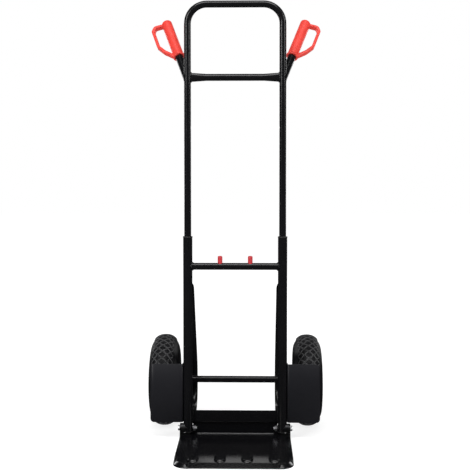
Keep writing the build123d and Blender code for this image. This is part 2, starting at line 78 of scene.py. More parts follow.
studio = {
    "backdrop": 1.0,  # what the camera sees behind the truck
    "fill": 0.012,  # the dim room that everything else sees
    "lamps": {
        # name: (place, where it points, width, height, watts)
        "leftBox": ((-2.7, -2.7, 2.35), (0, 0, 0.9), 0.9, 2.0, 70),
        "rightBox": ((3.2, -1.6, 2.3), (0, 0, 0.6), 0.8, 2.0, 45),
        "topBox": ((0.0, -1.3, 3.3), (0, 0, 0.5), 2.6, 1.2, 70),
        "backBox": ((0.0, 3.2, 3.0), (0, 0, 0.1), 2.6, 1.2, 12),
        "rearLeft": ((-2.3, 2.9, 1.3), (0, 0, 0.5), 0.8, 1.8, 18),
        "rearRight": ((2.3, 2.9, 1.3), (0, 0, 0.5), 0.8, 1.8, 18),
    },
}

world = bpy.data.worlds.new("studio")
world.use_nodes = True
scene.world = world
worldNodes, worldLinks = world.node_tree.nodes, world.node_tree.links
backdrop = worldNodes["Background"]
rays = worldNodes.new("ShaderNodeLightPath")
strength = worldNodes.new("ShaderNodeMapRange")
strength.inputs["To Min"].default_value = studio["fill"]
strength.inputs["To Max"].default_value = studio["backdrop"]
backdrop.inputs["Color"].default_value = (1, 1, 1, 1)
worldLinks.new(rays.outputs["Is Camera Ray"], strength.inputs["Value"])
worldLinks.new(strength.outputs["Result"], backdrop.inputs["Strength"])

for lampName, (place, target, width, height, watts) in studio["lamps"].items():
    lampData = bpy.data.lights.new(lampName, "AREA")
    lampData.shape = "RECTANGLE"
    lampData.size, lampData.size_y = width, height
    lampData.energy = watts
    lamp = bpy.data.objects.new(lampName, lampData)
    lamp.location = place
    lamp.visible_camera = False
    lamp.rotation_euler = (Vector(target) - Vector(place)).to_track_quat("-Z", "Y").to_euler()
    scene.collection.objects.link(lamp)
print("camera and lights placed")


# finishes

class Wire:
    # a socket that takes part in ordinary sums
    def __init__(self, finish, socket):
        self.finish, self.socket = finish, socket

    def maths(self, operation, first, second):
        return self.finish.node("ShaderNodeMath", {"operation": operation}, {0: first, 1: second})

    def __add__(self, other):
        return self.maths("ADD", self, other)

    def __radd__(self, other):
        return self.maths("ADD", other, self)

    def __sub__(self, other):
        return self.maths("SUBTRACT", self, other)

    def __rsub__(self, other):
        return self.maths("SUBTRACT", other, self)

    def __mul__(self, other):
        return self.maths("MULTIPLY", self, other)

    def __rmul__(self, other):
        return self.maths("MULTIPLY", other, self)


class Finish:
    # a material; node() adds any node to it and feed() sends a result to its shader
    def __init__(self, name, constants):
        self.material = bpy.data.materials.new(name)
        self.material.use_nodes = True
        self.tree = self.material.node_tree
        self.shader = self.tree.nodes["Principled BSDF"]
        for socketName, value in constants.items():
            self.shader.inputs[socketName].default_value = value
        self.place = self.node("ShaderNodeTexCoord", out="Object")

    def node(self, kind, settings=None, values=None, out=0):
        made = self.tree.nodes.new(kind)
        for setting, value in (settings or {}).items():
            setattr(made, setting, value)
        for socketName, value in (values or {}).items():
            if isinstance(value, Wire):
                self.tree.links.new(value.socket, made.inputs[socketName])
            else:
                made.inputs[socketName].default_value = value
        return Wire(self, made.outputs[out])

    def feed(self, socketName, wire):
        self.tree.links.new(wire.socket, self.shader.inputs[socketName])

    def grain(self, scale, detail=2.0):
        values = {"Vector": self.place, "Scale": scale, "Detail": detail}
        return self.node("ShaderNodeTexNoise", {}, values)

    def blend(self, mask, first, second):
        # colours through a Mix node: sockets 0, 6 and 7 are factor, A and B
        values = {0: mask, 6: first, 7: second}
        return self.node("ShaderNodeMix", {"data_type": "RGBA"}, values, out=2)

    def bump(self, height, strength, distance):
        values = {"Height": height, "Strength": strength, "Distance": distance}
        self.feed("Normal", self.node("ShaderNodeBump", {}, values))


def powderCoat(name, look):
    finish = Finish(name, {
        "IOR": 1.5,
        "Specular IOR Level": look["specular"],
        "Coat Roughness": look["coatRoughness"],
    })
    patches = finish.grain(9, detail=3)
    orangePeel = finish.grain(look["peelScale"])
    coatLoss = look["coat"] * 0.3
    finish.feed("Base Color", finish.blend(patches, look["dark"], look["light"]))
    finish.feed("Roughness", look["roughness"] + patches * look["spread"])
    finish.feed("Coat Weight", look["coat"] - patches * coatLoss)
    finish.bump(orangePeel, look["peel"], distance=0.0006)
    return finish.material


def moulding(name, look):
    finish = Finish(name, {"IOR": 1.48})
    clouds = finish.grain(35)
    pebble = finish.grain(1400)
    finish.feed("Base Color", finish.blend(clouds, look["dark"], look["light"]))
    finish.feed("Roughness", look["roughness"] + pebble * look["spread"])
    finish.bump(pebble, look["texture"], distance=0.0003)
    return finish.material


def plating(name, look):
    finish = Finish(name, {"IOR": 1.5})
    spangle = finish.grain(160, detail=3)
    tarnish = spangle * 0.06
    finish.feed("Base Color", finish.blend(spangle, look["dark"], look["light"]))
    finish.feed("Metallic", 1.0 - tarnish)
    finish.feed("Roughness", look["roughness"] + spangle * look["spread"])
    finish.bump(finish.grain(2200, detail=1), 0.12, distance=0.0002)
    return finish.material


def rubber(name, look):
    finish = Finish(name, {"IOR": 1.45, "Specular IOR Level": look["specular"]})
    blotches = finish.grain(22, detail=4)
    pores = finish.grain(1700)
    plain = finish.blend(blotches, look["dark"], look["light"])
    # painted highlight: this attribute turns the colour paler along the tread blocks' upper edges, where light
    # would catch them
    edgeHighlight = finish.node("ShaderNodeAttribute", {"attribute_name": "edgeHighlight"}, out="Fac")
    patchyHighlight = edgeHighlight * (0.7 + blotches * 0.5)
    finish.feed("Base Color", finish.blend(patchyHighlight, plain, look["worn"]))
    finish.feed("Roughness", look["roughness"] + blotches * look["spread"])
    finish.bump(pores, look["pores"], distance=0.0004)
    return finish.material


def grey(value):
    return (value, value, value, 1)


looks = {
    "black_paint": (powderCoat, {
        "dark": (0.004, 0.004, 0.0046, 1), "light": (0.007, 0.007, 0.008, 1), "roughness": 0.19,
        "spread": 0.06, "specular": 0.3, "coat": 0.08, "coatRoughness": 0.1, "peelScale": 950,
        "peel": 0.05}),
    "sheet_paint": (powderCoat, {
        "dark": (0.008, 0.008, 0.0105, 1), "light": (0.012, 0.012, 0.015, 1), "roughness": 0.38,
        "spread": 0.10, "specular": 0.3, "coat": 0.05, "coatRoughness": 0.3, "peelScale": 1100,
        "peel": 0.16}),
    "toe_paint": (powderCoat, {
        "dark": (0.0025, 0.0025, 0.0032, 1), "light": (0.0045, 0.0045, 0.0055, 1),
        "roughness": 0.19, "spread": 0.05, "specular": 0.5, "coat": 0.1, "coatRoughness": 0.2,
        "peelScale": 1000, "peel": 0.12}),
    "black_plastic": (moulding, {
        "dark": grey(0.012), "light": grey(0.02), "roughness": 0.45, "spread": 0.12,
        "texture": 0.2}),
    "red_grip": (moulding, {
        "dark": (0.70, 0.044, 0.032, 1), "light": (0.79, 0.064, 0.046, 1), "roughness": 0.36,
        "spread": 0.12, "texture": 0.12}),
    "red_knob": (moulding, {
        "dark": (0.49, 0.032, 0.040, 1), "light": (0.58, 0.041, 0.049, 1), "roughness": 0.34,
        "spread": 0.12, "texture": 0.1}),
    "zinc": (plating, {
        "dark": (0.72, 0.73, 0.75, 1), "light": (0.86, 0.87, 0.88, 1), "roughness": 0.42,
        "spread": 0.16}),
    "dull_zinc": (plating, {
        "dark": (0.16, 0.16, 0.17, 1), "light": (0.25, 0.25, 0.26, 1), "roughness": 0.3,
        "spread": 0.16}),
    # painted shade: a darker copy of zinc for the pivot parts tucked between ear and upright
    "dark_zinc": (plating, {
        "dark": (0.03, 0.03, 0.032, 1), "light": (0.05, 0.05, 0.052, 1), "roughness": 0.35,
        "spread": 0.12}),
    "bearing_steel": (plating, {
        "dark": (0.5, 0.5, 0.51, 1), "light": (0.6, 0.6, 0.61, 1), "roughness": 0.16,
        "spread": 0.1}),
    "spring_steel": (plating, {
        "dark": grey(0.4), "light": grey(0.5), "roughness": 0.25, "spread": 0.1}),
    # worn is the painted highlight colour on the tread blocks' upper edges
    "tyre_rubber": (rubber, {
        "dark": (0.003, 0.003, 0.004, 1), "light": (0.006, 0.006, 0.007, 1), "roughness": 0.42,
        "spread": 0.2, "specular": 0.15, "pores": 0.25, "worn": (0.16, 0.16, 0.165, 1)}),
    "tube_rubber": (rubber, {
        "dark": grey(0.018), "light": grey(0.026), "roughness": 0.6, "spread": 0.1,
        "specular": 0.4, "pores": 0.2, "worn": grey(0.05)}),
}
finishes = {name: maker(name, look) for name, (maker, look) in looks.items()}

slotOf = {part["node"]: part["material_slot"] for part in frame["record"]["subparts"]}
# painted shade: the pivot spacers and washers take the darker zinc instead of their zinc slot, for the shade in
# the narrow gaps between each ear and upright
shadedParts = {"toe_pivot_spacers": "dark_zinc", "toe_pivot_washers": "dark_zinc"}
for nodeName, node in nodes.items():
    finishName = shadedParts.get(nodeName, slotOf[nodeName])
    node.data.materials.clear()
    node.data.materials.append(finishes[finishName])
print("finishes made:", len(finishes))


# mesh helpers

def addPiece(name, shape, finishName, body, sharpAngle=35):
    # a closed mesh from (corners, faces), with edges sharper than sharpAngle kept crisp
    corners, faces = shape
    mesh = bpy.data.meshes.new(name)
    mesh.from_pydata([tuple(corner) for corner in corners], [], faces)
    work = bmesh.new()
    work.from_mesh(mesh)
    bmesh.ops.recalc_face_normals(work, faces=work.faces)
    work.to_mesh(mesh)
    work.free()
    mesh.polygons.foreach_set("use_smooth", [True] * len(mesh.polygons))
    mesh.set_sharp_from_angle(angle=math.radians(sharpAngle))
    mesh.materials.append(finishes[finishName])
    piece = bpy.data.objects.new(name, mesh)
    scene.collection.objects.link(piece)
    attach(piece, body)
    return piece


def together(shapes):
    # several (corners, faces) as one
    corners, faces = [], []
    for moreCorners, moreFaces in shapes:
        start = len(corners)
        corners += list(moreCorners)
        faces += [tuple(start + index for index in face) for face in moreFaces]
    return corners, faces


def moved(shape, change):
    # every corner passed through a function
    return [change(Vector(corner)) for corner in shape[0]], shape[1]


def eachSide(shape):
    # the mirror image of a shape drawn on the right, and the shape
    mirrored = moved(shape, lambda corner: Vector((-corner.x, corner.y, corner.z)))
    return [("left", mirrored), ("right", shape)]


def bothSides(shape):
    return together([sideShape for side, sideShape in eachSide(shape)])


def skin(rings, endless=False, capped=False):
    # faces between neighbouring rings of equally many corners
    count = len(rings[0])
    corners = [corner for ring in rings for corner in ring]
    faces = []
    for row in range(len(rings) if endless else len(rings) - 1):
        here, there = row * count, (row + 1) % len(rings) * count
        for step in range(count):
            after = (step + 1) % count
            faces.append((here + step, here + after, there + after, there + step))
    if capped:
        faces.append(tuple(range(count)))
        faces.append(tuple(range(len(corners) - count, len(corners))))
    return corners, faces


def quarterTurn(steps):
    # angles from 0 to 90 degrees
    return [math.pi / 2 * step / steps for step in range(steps + 1)]


def circle(middle, side, up, radius, segments):
    turns = [2 * math.pi * step / segments for step in range(segments)]
    return [middle + (side * math.cos(turn) + up * math.sin(turn)) * radius for turn in turns]


def lathe(profile, place, along, segments, endless=False, capped=False):
    # a profile of (reach along, radius) turned about an axis
    place, along = Vector(place), Vector(along).normalized()
    side = along.orthogonal().normalized()
    up = along.cross(side)
    rings = [circle(place + along * reach, side, up, radius, segments) for reach, radius in profile]
    return skin(rings, endless, capped)


def swept(route, radius, segments, endless=False):
    # a bead along a route, without twist; radius is a function of the step
    rings, side = [], None
    for step, point in enumerate(route):
        before = route[step - 1] if endless or step else point
        after = route[(step + 1) % len(route)] if endless or step < len(route) - 1 else point
        way = (after - before).normalized()
        side = way.orthogonal() if side is None else side - way * side.dot(way)
        side.normalize()
        rings.append(circle(point, side, way.cross(side), radius(step), segments))
    return skin(rings, endless, not endless)


def halfChord(radius, away):
    return math.sqrt(max(radius ** 2 - away ** 2, 0))


def smooth(value):
    value = min(max(value, 0.0), 1.0)
    return value * value * (3 - 2 * value)


def applyModifiers(piece):
    graph = bpy.context.evaluated_depsgraph_get()
    mesh = bpy.data.meshes.new_from_object(piece.evaluated_get(graph))
    piece.modifiers.clear()
    piece.data = mesh
    mesh.polygons.foreach_set("use_smooth", [True] * len(mesh.polygons))


# sizes that the pieces share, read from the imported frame

def middleAndHalf(nodeName):
    low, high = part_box(nodeName)
    return (low + high) / 2, (high - low) / 2


uprightMiddle, uprightHalf = middleAndHalf("right_main_tube")
uprightX, uprightY, uprightRadius = uprightMiddle.x, uprightMiddle.y, uprightHalf.x
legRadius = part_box("push_loop")[1].x - uprightX
bowLow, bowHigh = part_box("right_bow")
bowX, bowRadius = (bowLow.x + bowHigh.x) / 2, (bowHigh.x - bowLow.x) / 2
pivot = Vector(joints["toe_plate_fold"]["pos_m"])
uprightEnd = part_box("tube_end_plugs")[0].z
guardLow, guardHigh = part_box("right_wheel_guard")


# tyres with raised diamond blocks

tyreMake = {
    "crownDepth": 0.042,  # from the tread's middle to the widest point
    "square": 0.88,  # 1 is an elliptical crown, less has fuller shoulders
    "slimmer": 0.0035,  # each side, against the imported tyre
    "offset": 0.002,  # of the crown outwards from the rim's middle
    "offsetRun": 0.027,  # the offset grows over this much radius
    "treadHalfAngle": 0.84,  # how far the blocks reach round the crown, in radians
    "blocksAround": 36,
    "blocksAcross": 3,
    "grooveDepth": 0.0036,
    "shoulderSink": 0.75,  # share of the grooves' depth beside the tread
    "blockScale": 0.94,  # a block's foot against its cell
    "edgeTaper": 0.95,  # its upper edge against its foot
    "topScale": 0.74,  # its top against its cell
    "blockRoot": 0.0006,  # below the grooves' floor
    "edgeDrop": 0.0006,  # of its upper edge below the crown
    "topDrop": 0.00005,
    "sideInset": 0.0008,  # of the sidewall below the shoulder
    "ridges": {7: 0.0007, 8: 0.0007, 15: 0.0006, 16: 0.0006},  # rings round the sidewall
    "beadRadius": 0.0506,
    "beadHalfWidth": 0.0275,
    "beadCorner": ((0.0004, 0.001), (0.0014, 0.0)),  # (inwards, up) from the bead's edge
    "footRadius": 0.061,
    "wall": 0.007,
    "crownSteps": 60,
    "innerCrownSteps": 12,
    "sideSteps": 20,
    "innerSideSteps": 8,
    "segments": 176,
}


def treadBlocks(make, surface):
    # diamonds in staggered rows, and half diamonds along the shoulders
    edge, across = make["treadHalfAngle"], make["blocksAcross"]
    cell = 2 * edge / across
    turnCell = 2 * math.pi / make["blocksAround"]
    diamond = [(cell / 2, 0), (0, turnCell / 2), (-cell / 2, 0), (0, -turnCell / 2)]
    halfDiamond = [(0, turnCell / 2), (-cell / 2, 0), (0, -turnCell / 2)]
    otherHalf = [(-x, y) for x, y in reversed(halfDiamond)]
    levels = (
        (make["blockScale"], make["grooveDepth"] + make["blockRoot"]),
        (make["blockScale"] * make["edgeTaper"], make["edgeDrop"]),
        (make["topScale"], make["topDrop"]),
    )

    def block(centre, turn, outline):
        # a foot ring, an edge ring and a top ring, and a fan of faces over the top
        middle = Vector((sum(x for x, y in outline), sum(y for x, y in outline))) / len(outline)
        ring = []
        for here, there in zip(outline, outline[1:] + outline[:1]):
            ring += [Vector(here), (Vector(here) + Vector(there)) / 2]

        def onCrown(point, sink):
            x, r = surface(centre + point.x, sink)
            angle = turn + point.y
            return Vector((x, -r * math.sin(angle), r * math.cos(angle)))

        corners, faces = skin([
            [onCrown(middle + (point - middle) * scale, sink) for point in ring]
            for scale, sink in levels
        ])
        corners.append(onCrown(middle, make["topDrop"]))
        count = len(ring)
        top = (len(levels) - 1) * count
        faces += [(top + step, top + (step + 1) % count, top + count) for step in range(count)]
        faces.append(tuple(reversed(range(count))))
        return corners, faces

    blocks = []
    for row in range(make["blocksAround"]):
        turn = row * turnCell
        for column in range(across):
            place = (column - (across - 1) / 2) * cell
            blocks.append(block(place, turn + turnCell / 2, diamond))
        for column in range(1, across):
            blocks.append(block((column - across / 2) * cell, turn, diamond))
        blocks += [block(edge, turn, halfDiamond), block(-edge, turn, otherHalf)]
    return blocks


def tyreShape(make, radius, halfWidth):
    # the tyre about the x axis, and how much painted highlight each of its corners takes
    widest = radius - make["crownDepth"]
    edge = make["treadHalfAngle"]

    def surface(across, sink):
        # a point of the crown: (x, radius), sunk below the outside
        x = (halfWidth - sink) * math.copysign(abs(math.sin(across)) ** make["square"], across)
        return x, widest + (make["crownDepth"] - sink) * abs(math.cos(across)) ** make["square"]

    def sideArc(half, footHalf, steps):
        # from the widest point down to the foot
        drop = widest - make["footRadius"]
        inset = half - footHalf
        bend = (inset * inset + drop * drop) / (2 * inset)
        sweepAngle = math.asin(drop / bend)
        return [
            (half - bend + bend * math.cos(sweepAngle * step / steps),
             widest - bend * math.sin(sweepAngle * step / steps))
            for step in range(1, steps + 1)
        ]

    def mirrored(line):
        return [(-x, r) for x, r in reversed(line)]

    crown = []
    steps = make["crownSteps"]
    for step in range(-steps, steps + 1):
        across = math.pi / 2 * step / steps
        past = abs(across) - edge
        sink = make["grooveDepth"]
        if past >= 0:
            fade = 1 - smooth(past / (math.pi / 2 - edge))
            sink = make["grooveDepth"] * make["shoulderSink"] * fade
        crown.append(surface(across, sink))
    foot, bead, wall = make["beadHalfWidth"], make["beadRadius"], make["wall"]
    outside = [
        (x - make["sideInset"] + make["ridges"].get(step, 0), r)
        for step, (x, r) in enumerate(sideArc(halfWidth, foot, make["sideSteps"]))
    ]
    outside += [(foot - inwards, bead + up) for inwards, up in make["beadCorner"]]
    innerSide = sideArc(halfWidth - wall, foot - wall, make["innerSideSteps"])
    inside = [(foot - wall, bead)] + innerSide[::-1]
    steps = make["innerCrownSteps"]
    innerCrown = [
        surface(math.pi / 2 * step / steps, wall) for step in range(steps, -steps - 1, -1)
    ]
    outline = crown + outside + inside + innerCrown + mirrored(inside) + mirrored(outside)
    carcass = lathe(outline, (0, 0, 0), (1, 0, 0), make["segments"], endless=True)

    # a block's upper edge takes a painted highlight: paler colour where light would catch it
    blocks = treadBlocks(make, surface)
    edgeHighlight = [0.0] * len(carcass[0])
    for corners, _ in blocks:
        count = (len(corners) - 1) // 3
        edgeHighlight += [0.0] * count + [1.0] * count + [0.0] * (count + 1)
    return together([carcass] + blocks), edgeHighlight


for side, sign in sides.items():
    tyreNode = side + "_wheel_tyre"
    wheelCentre = Vector(joints[side + "_wheel_spin"]["pos_m"])
    tyreHalf = middleAndHalf(tyreNode)[1]
    shape, tyreHighlight = tyreShape(tyreMake, tyreHalf.z, tyreHalf.x - tyreMake["slimmer"])

    def placed(point):
        share = (math.hypot(point.y, point.z) - tyreMake["footRadius"]) / tyreMake["offsetRun"]
        return wheelCentre + point + Vector((sign * tyreMake["offset"] * smooth(share), 0, 0))

    tyre = addPiece(
        side + "_tyre", moved(shape, placed), "tyre_rubber", side + "_wheel", sharpAngle=40)
    # each corner's share of painted highlight, read by the rubber finish
    edgeHighlight = tyre.data.attributes.new("edgeHighlight", "FLOAT", "POINT")
    for place, amount in zip(edgeHighlight.data, tyreHighlight):
        place.value = amount
    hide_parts(tyreNode)
print("tyres made")


# side grips: a sleeve with a knuckle guard, moulded in one

gripMake = {
    "splay": 22.0,  # degrees outwards from upright
    "lean": 38.0,  # degrees back from upright
    "length": 0.144,
    "radius": 0.0148,
    "bore": 0.0111,
    "endWall": 0.006,
    "room": 0.010,  # between the handle tube's end and the end wall
    "endRound": 0.006,
    "waist": 0.0002,  # thinner at mid length by this
    "axisHole": 0.0005,  # closed by the remesh
    "axisDimple": 0.0003,
    "lipRadius": 0.0168,
    "lipLength": 0.004,
    "lipBevel": 0.0012,
    "lipSlope": 0.0022,
    "guardReach": 0.0445,  # of the guard's middle from the grip's axis
    "guardWidth": 0.0158,
    "guardThickness": 0.0086,
    "guardRound": 0.0024,
    "guardBend": 0.008,
    "guardCorners": (
        # share of the reach, share of the length
        (0.08, 0.93), (0.80, 0.972), (1.0, 0.885), (1.0, 0.44), (0.72, 0.25), (0.28, 0.06),
    ),
    "segments": 48,
    "voxel": 0.00075,
    "relax": 0.5,
    "relaxSteps": 6,
}
handleRadius = 0.011
handleSlope = [math.tan(math.radians(gripMake[name])) for name in ("splay", "lean")]
handleWay = Vector((handleSlope[0], handleSlope[1], 1)).normalized()
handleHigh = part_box("right_handle_tube")[1]
handleEnd = Vector([
    high - handleRadius * math.sqrt(1 - way * way) for high, way in zip(handleHigh, handleWay)
])
gripStart = handleEnd + handleWay * (gripMake["endWall"] + gripMake["room"] - gripMake["length"])
gripSide = Vector((handleWay.z, 0, -handleWay.x)).normalized()
gripBack = handleWay.cross(gripSide)


def roundedRoute(corners, bend, steps=6):
    # straight runs joined by arcs, in the plane of the guard
    route = [corners[0]]
    for before, corner, after in zip(corners, corners[1:], corners[2:]):
        into, out = (corner - before).normalized(), (after - corner).normalized()
        turn = into.angle(out)
        reach = bend * math.tan(turn / 2)
        first, last = corner - into * reach, corner + out * reach
        for step in range(steps + 1):
            part = step / steps
            middle = corner * (2 * part * (1 - part))
            route.append(first * (1 - part) ** 2 + middle + last * part ** 2)
    route.append(corners[-1])
    return route


def roundedBar(route, across, width, thickness, corner, steps=3):
    # a strap along a flat route: width runs along "across"
    flatWidth, flatThickness = width / 2 - corner, thickness / 2 - corner
    rings = []
    for step, point in enumerate(route):
        before, after = route[max(step - 1, 0)], route[min(step + 1, len(route) - 1)]
        normal = (after - before).normalized().cross(across).normalized()
        ring = []
        for quarter, (u, v) in enumerate(((1, 1), (-1, 1), (-1, -1), (1, -1))):
            for part in range(steps + 1):
                turn = math.pi / 2 * (quarter + part / steps)
                ring.append(
                    point
                    + across * (u * flatWidth + corner * math.cos(turn))
                    + normal * (v * flatThickness + corner * math.sin(turn))
                )
        rings.append(ring)
    return skin(rings, capped=True)


def gripShape(make):
    length, radius, bore, end = make["length"], make["radius"], make["bore"], make["endRound"]
    lip, lipEnd, bevel = make["lipRadius"], make["lipLength"], make["lipBevel"]
    hole = make["axisHole"]
    profile = [(0.0, bore), (0.0, lip - bevel), (bevel, lip), (lipEnd, lip)]
    profile += [(lipEnd + make["lipSlope"], radius), (length * 0.5, radius - make["waist"])]
    profile += [
        (length - end + end * math.sin(turn), radius - end + end * math.cos(turn))
        for turn in quarterTurn(6)
    ]
    profile += [(length - make["axisDimple"], hole), (length - make["endWall"], hole)]
    profile += [(length - make["endWall"], bore)]
    sleeve = lathe(profile, (0, 0, 0), (0, 0, 1), make["segments"], endless=True)
    corners = [
        Vector((make["guardReach"] * out, 0, length * up)) for out, up in make["guardCorners"]
    ]
    strap = roundedBar(
        roundedRoute(corners, make["guardBend"]), Vector((0, 1, 0)), make["guardWidth"],
        make["guardThickness"], make["guardRound"])
    return together([sleeve, strap])


rightGrip = moved(
    gripShape(gripMake),
    lambda p: gripStart + gripSide * p.x + gripBack * p.y + handleWay * p.z,
)
for side, shape in eachSide(rightGrip):
    grip = addPiece(side + "_hand_grip", shape, "red_grip", "telescope")
    remesh = grip.modifiers.new("one moulding", "REMESH")
    remesh.mode = "VOXEL"
    remesh.voxel_size = gripMake["voxel"]
    relax = grip.modifiers.new("soft corners", "SMOOTH")
    relax.factor = gripMake["relax"]
    relax.iterations = gripMake["relaxSteps"]
    applyModifiers(grip)
    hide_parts(side + "_grip")
print("grips made")


# toe plate: a pressed pan with four ribs, a rear flange with end tabs, heels and two pivot ears

toeMake = {
    "sheet": 0.003,
    "height": 0.010,
    "lip": 0.003,
    "lipFall": 0.0023,  # of the lip's top towards its front edge
    "lipLength": 0.035,
    "rampLength": 0.045,
    "rampCurve": 1.5,  # 1 is a straight ramp, more is steeper at its foot
    "corner": 0.036,
    "edgeRound": 0.0038,
    "underEdge": 0.002,  # the underside rises over this far inside the turned edge
    "ribs": 4,
    "ribSpacing": 0.069,
    "ribHalf": 0.0135,
    "ribFlank": 0.0050,
    "noseFlank": 0.0056,
    "flankShare": 0.6,  # of a flank that lies inside the rib's half width
    "shoulder": 0.1172,  # outside this the plate stays high until its rounded corner
    "shoulderFlank": 0.0035,
    "shoulderEdge": 0.004,
    "shoulderRoll": 0.008,
    "rollEnd": 0.075,  # behind the ramp's foot the roll is over
    "rollFade": 0.06,
    "column": 0.00125,
    "row": 0.0014,
    "crowding": 1.12,  # of the columns towards the sides; 1 is even
    "flangeFront": 0.0083,  # behind the middle of the uprights
    "flangeHalf": 0.112,
    "flangeFootHalf": 0.1168,  # its ends reach on under the bows' feet
    "flangeTail": 0.0075,  # and lower still behind the uprights' ends
    "flangeTop": 0.0426,
    "flangeBend": 0.0040,
    "flangeCorner": 0.0050,
    "flangeEdge": 0.0008,
    "flangeSunk": 0.00005,  # below the pan's top
    "flangeLap": 0.0006,  # under the heels
    "bowGap": 0.0002,
    "swingGap": 0.0008,  # under the upright's end
    "tailGap": 0.0001,
    "tabLength": 0.020,
    "tabSlope": 0.0025,
    "tabStep": 0.0003,
    "earRadius": 0.013,
    "earFoot": 0.018,
    "earBend": 0.004,
    "earBevel": 0.0006,
    "earSunk": 0.0005,
}
toeLow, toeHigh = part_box("toe_plate")
toeHalf, toeFront, heelBack = toeHigh.x, toeLow.y, toeHigh.y


def insideToe(x, y, make):
    # how far inside the plan's outline a point lies
    corner = make["corner"]
    inX, inY = toeHalf - abs(x), y - toeFront
    if inX < corner and inY < corner:
        return corner - math.hypot(corner - inX, corner - inY)
    return min(inX, inY)


def toeHeight(x, y, make):
    # the pressed top: level, a ramp down to the lip, and ribs that run on over the ramp
    high, lip = make["height"], make["lip"]
    fromFront = y - toeFront
    rampFoot = make["lipLength"]
    climb = (fromFront - rampFoot) / make["rampLength"]
    down = min(max(1 - climb, 0.0), 1.0) ** make["rampCurve"]
    ramp = high - (high - lip) * down
    ramp += make["lipFall"] * (min(fromFront / rampFoot, 1.0) - 0.5) * down
    raised = 1.0
    for number in range(make["ribs"]):
        ribX = (number - (make["ribs"] - 1) / 2) * make["ribSpacing"]
        ahead = max(rampFoot + make["ribHalf"] - fromFront, 0)
        away = math.hypot(x - ribX, ahead)
        flank = make["ribFlank"]
        if away > 0:
            flank += (make["noseFlank"] - flank) * (ahead / away) ** 2
        inFlank = away - make["ribHalf"] + flank * make["flankShare"]
        raised = min(raised, smooth(inFlank / flank))
    shoulder = abs(x) - make["shoulder"]
    if shoulder > -make["shoulderFlank"]:
        rolled = smooth((make["rollEnd"] - climb * make["rampLength"]) / make["rollFade"])
        width = make["shoulderEdge"] + make["shoulderRoll"] * rolled
        side = lip + (high - lip) * smooth(insideToe(x, y, make) / width)
        top = max(ramp, side)
        raised = min(raised, 1 - smooth(shoulder / make["shoulderFlank"] + 1))
        return ramp * raised + top * (1 - raised)
    return ramp * raised + high * (1 - raised)


def panShape(make):
    # rows run from the lip to the heels; between the heels the pan stops under the uprights
    rowsCount = int((heelBack - toeFront) / make["row"])
    columns = int(2 * toeHalf / make["column"])
    sheet, corner = make["sheet"], make["corner"]
    heelInside = make["flangeFootHalf"] - make["flangeLap"]
    top, bottom, kept = [], [], []
    for row in range(rowsCount + 1):
        y = toeFront + (heelBack - toeFront) * row / rowsCount
        inY = y - toeFront
        half = toeHalf
        if inY < corner:
            half = toeHalf - corner + halfChord(corner, corner - inY)
        for column in range(columns + 1):
            # columns crowd towards the edges, where the sheet turns down
            share = 2 * column / columns - 1
            share = math.copysign(1 - (1 - abs(share)) ** make["crowding"], share)
            x = half * share
            inside = insideToe(x, y, make)
            high = toeHeight(x, y, make)
            turned = min(make["edgeRound"], high)
            under = 0.0
            if y > uprightY:
                under = make["height"] - sheet
            elif inside > sheet:
                under = max(high - sheet, 0.0) * smooth((inside - sheet) / make["underEdge"])
            if y < uprightY and inside < turned:
                high += halfChord(turned, turned - max(inside, 0)) - turned
            top.append(Vector((x, y, high)))
            bottom.append(Vector((x, y, min(under, high))))
            kept.append(y <= uprightY + make["row"] / 2 or abs(x) >= heelInside)
    wide, count = columns + 1, len(top)
    faces, edges = [], {}
    for row in range(rowsCount):
        for column in range(columns):
            here = row * wide + column
            ring = (here, here + 1, here + wide + 1, here + wide)
            if all(kept[index] for index in ring):
                faces += [ring, tuple(count + index for index in reversed(ring))]
                edges.update(dict.fromkeys(zip(ring, ring[1:] + ring[:1])))
    borders = [(start, stop) for start, stop in edges if (stop, start) not in edges]
    faces += [(stop, start, count + start, count + stop) for start, stop in borders]
    return used(top + bottom, faces)


def used(corners, faces):
    # without the corners that no face uses
    needed = sorted({index for face in faces for index in face})
    order = {index: place for place, index in enumerate(needed)}
    faces = [tuple(order[index] for index in face) for face in faces]
    return [corners[index] for index in needed], faces


